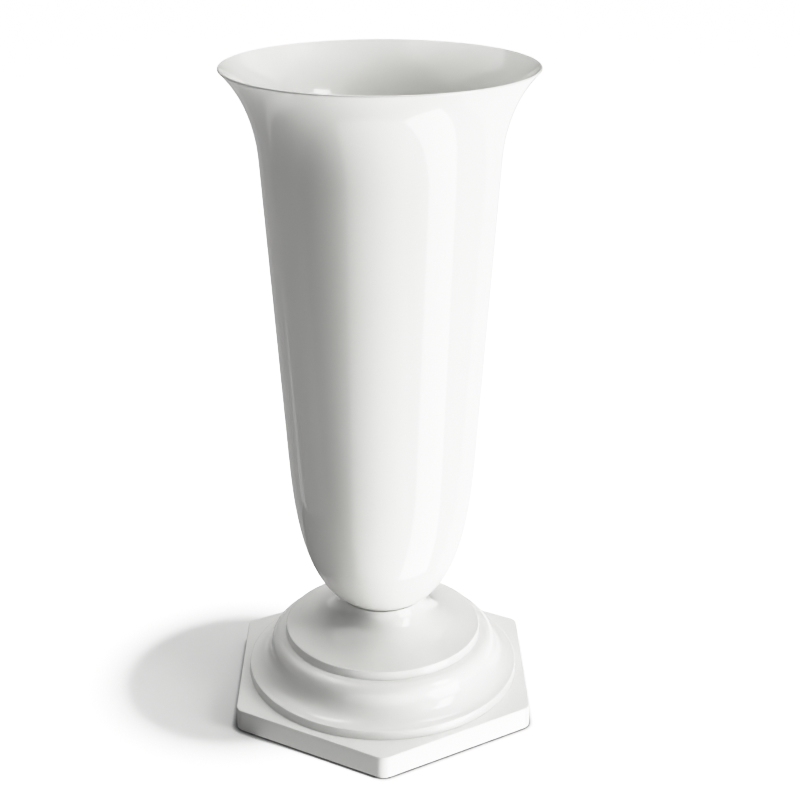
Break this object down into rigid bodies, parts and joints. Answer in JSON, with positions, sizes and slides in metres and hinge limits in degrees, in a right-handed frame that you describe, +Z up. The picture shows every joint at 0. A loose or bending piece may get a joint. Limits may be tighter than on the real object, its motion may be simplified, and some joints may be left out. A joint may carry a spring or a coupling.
{
  "type": "pedestal flower vase",
  "caption": "White gloss trumpet-shaped flower vase whose bowl lifts out of a stepped round pedestal on a hexagonal plinth",
  "frame": {"origin": "on the vase's axis, on the ground plane under the plinth", "axes": "+Z up along the vase's axis; -Y towards the viewer, through one corner of the hexagonal plinth"},
  "size_m": [0.152, 0.1736, 0.334],
  "materials": {
    "bowl_plastic": "white injection-moulded gloss",
    "pedestal_plastic": "white injection-moulded gloss",
    "plaster": "cast plaster, dull"
  },
  "bodies": {
    "pedestal": {"pedestal": "pedestal_plastic", "ballast": "plaster"},
    "bowl": {"bowl": "bowl_plastic"}
  },
  "joints": [
    {"name": "bowl_lift", "type": "slide", "parent": "pedestal", "child": "bowl", "axis": [0, 0, 1], "range_m": [0, 0.03]}
  ]
}
